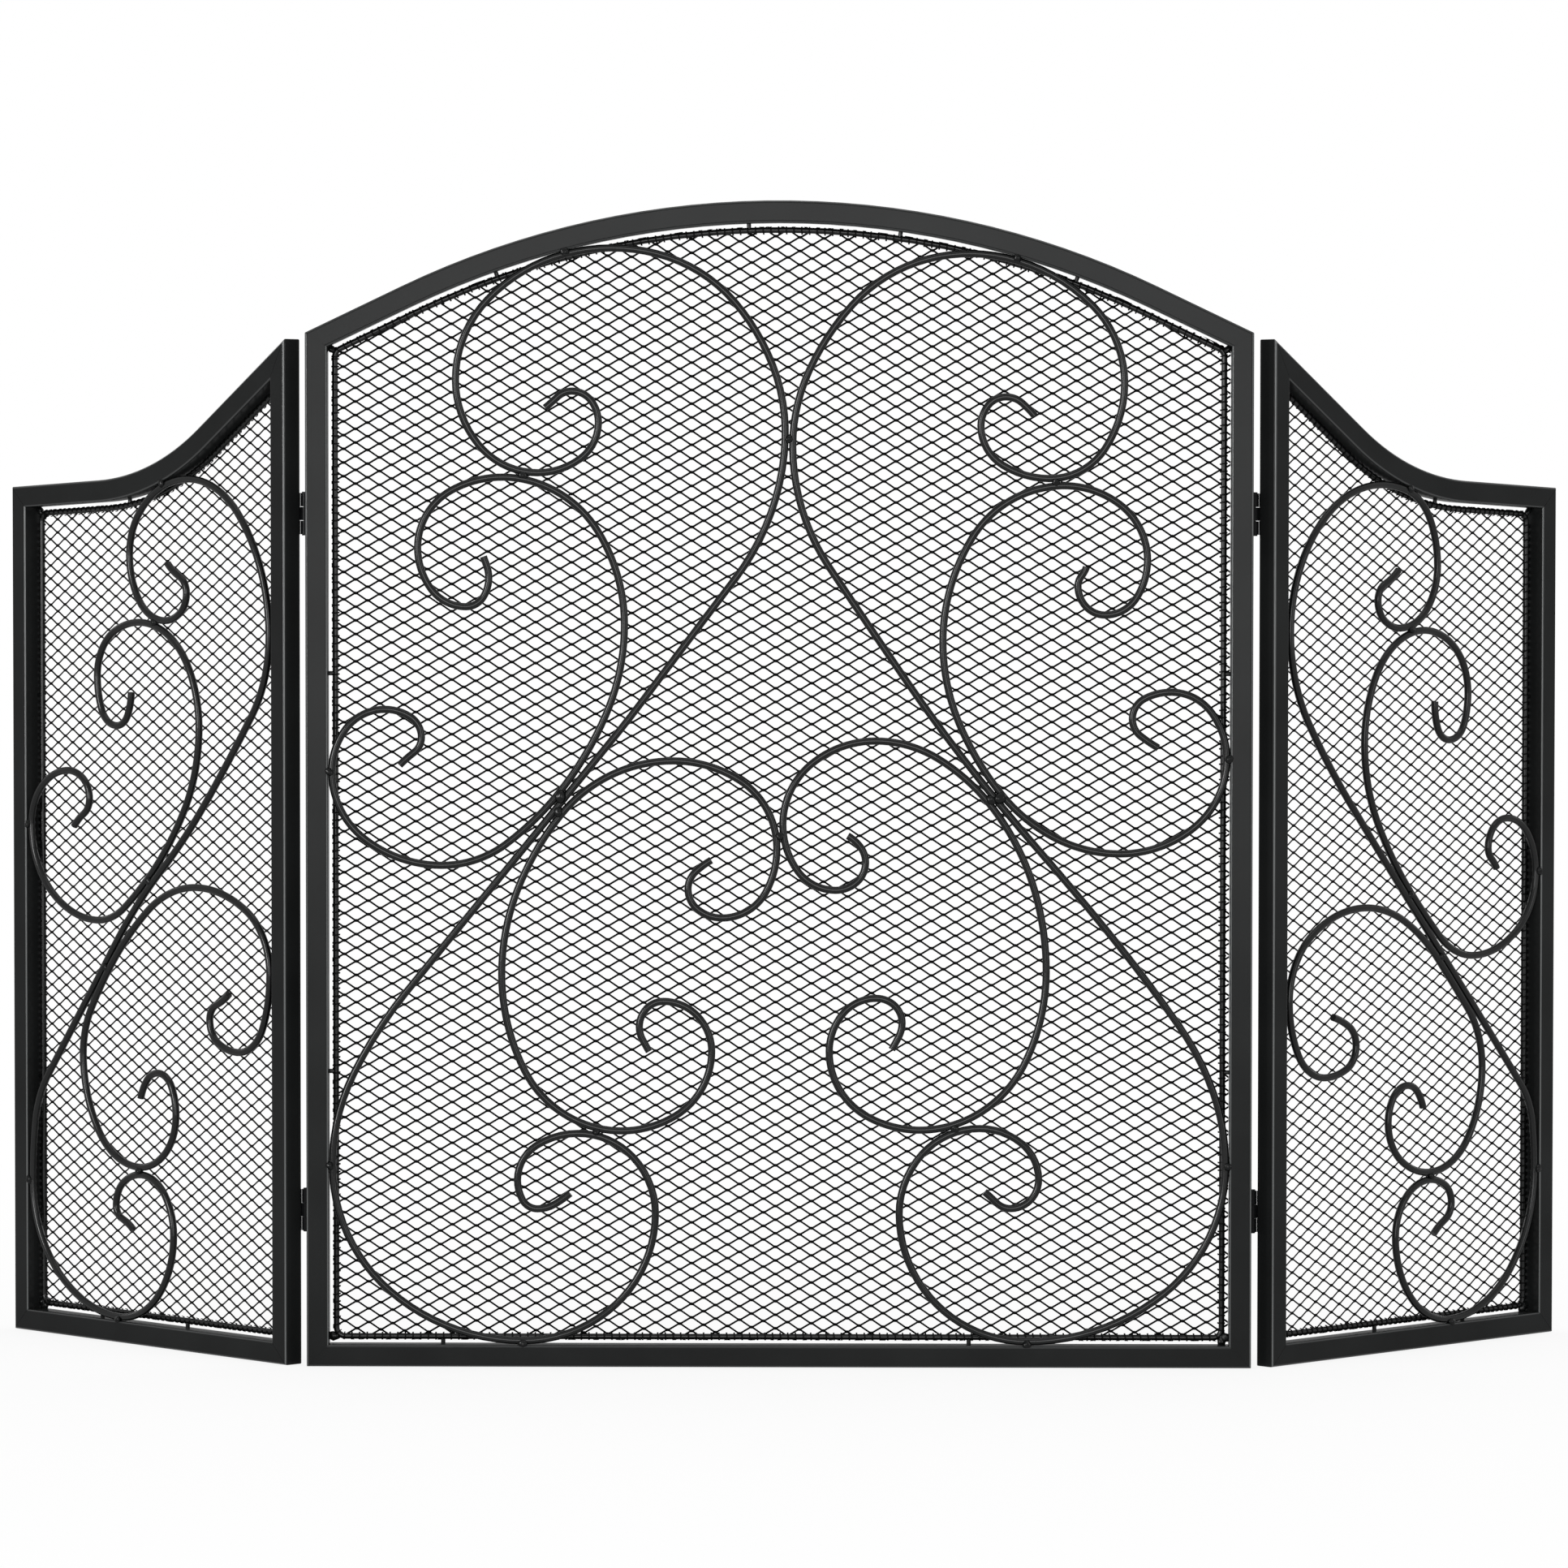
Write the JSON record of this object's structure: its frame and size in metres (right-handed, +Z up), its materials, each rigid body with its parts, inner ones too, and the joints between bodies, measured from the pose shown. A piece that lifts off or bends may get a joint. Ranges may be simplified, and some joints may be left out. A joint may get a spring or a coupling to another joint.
{
  "type": "fireplace screen",
  "caption": "Folding fireplace screen in black steel: an arched centre panel with hinged swept side panels, each a tube frame with wire mesh and scrolled rods",
  "frame": {"origin": "on the floor under the middle of the centre panel, halfway through its tubes", "axes": "X to the right along the centre panel, Y to the back, Z up; the front faces -Y"},
  "size_m": [1.0896, 0.2271, 0.7889],
  "materials": {
    "frame_steel": "satin black powder coat",
    "wire_steel": "satin black powder coat",
    "mesh_steel": "satin black powder coat",
    "scroll_steel": "satin black powder coat",
    "hinge_steel": "satin black powder coat"
  },
  "bodies": {
    "centre": {"centre_arch_rail": "frame_steel", "centre_bottom_rail": "frame_steel", "centre_left_lower_scroll": "scroll_steel", "centre_left_main_scroll": "scroll_steel", "centre_left_post": "frame_steel", "centre_left_upper_scroll": "scroll_steel", "centre_mesh": "mesh_steel", "centre_right_lower_scroll": "scroll_steel", "centre_right_main_scroll": "scroll_steel", "centre_right_post": "frame_steel", "centre_right_upper_scroll": "scroll_steel", "centre_scroll_welds": "scroll_steel", "centre_wire_frame": "wire_steel", "centre_wire_nubs": "wire_steel", "left_lower_hinge_centre_leaf": "hinge_steel", "left_lower_hinge_pin": "hinge_steel", "left_upper_hinge_centre_leaf": "hinge_steel", "left_upper_hinge_pin": "hinge_steel", "right_lower_hinge_centre_leaf": "hinge_steel", "right_lower_hinge_pin": "hinge_steel", "right_upper_hinge_centre_leaf": "hinge_steel", "right_upper_hinge_pin": "hinge_steel"},
    "left_panel": {"left_bottom_rail": "frame_steel", "left_hinge_post": "frame_steel", "left_lower_hinge_side_leaf": "hinge_steel", "left_lower_scroll": "scroll_steel", "left_main_scroll": "scroll_steel", "left_mesh": "mesh_steel", "left_outer_post": "frame_steel", "left_scroll_welds": "scroll_steel", "left_swept_rail": "frame_steel", "left_upper_hinge_side_leaf": "hinge_steel", "left_upper_scroll": "scroll_steel", "left_wire_frame": "wire_steel", "left_wire_nubs": "wire_steel"},
    "right_panel": {"right_bottom_rail": "frame_steel", "right_hinge_post": "frame_steel", "right_lower_hinge_side_leaf": "hinge_steel", "right_lower_scroll": "scroll_steel", "right_main_scroll": "scroll_steel", "right_mesh": "mesh_steel", "right_outer_post": "frame_steel", "right_scroll_welds": "scroll_steel", "right_swept_rail": "frame_steel", "right_upper_hinge_side_leaf": "hinge_steel", "right_upper_scroll": "scroll_steel", "right_wire_frame": "wire_steel", "right_wire_nubs": "wire_steel"}
  },
  "joints": [
    {"name": "left_fold", "type": "hinge", "parent": "centre", "child": "left_panel", "pos_m": [-0.321, 0.011, 0], "axis": [0, 0, -1], "range_deg": [-45, 135]},
    {"name": "right_fold", "type": "hinge", "parent": "centre", "child": "right_panel", "pos_m": [0.321, 0.011, 0], "axis": [0, 0, 1], "range_deg": [-45, 135]}
  ]
}
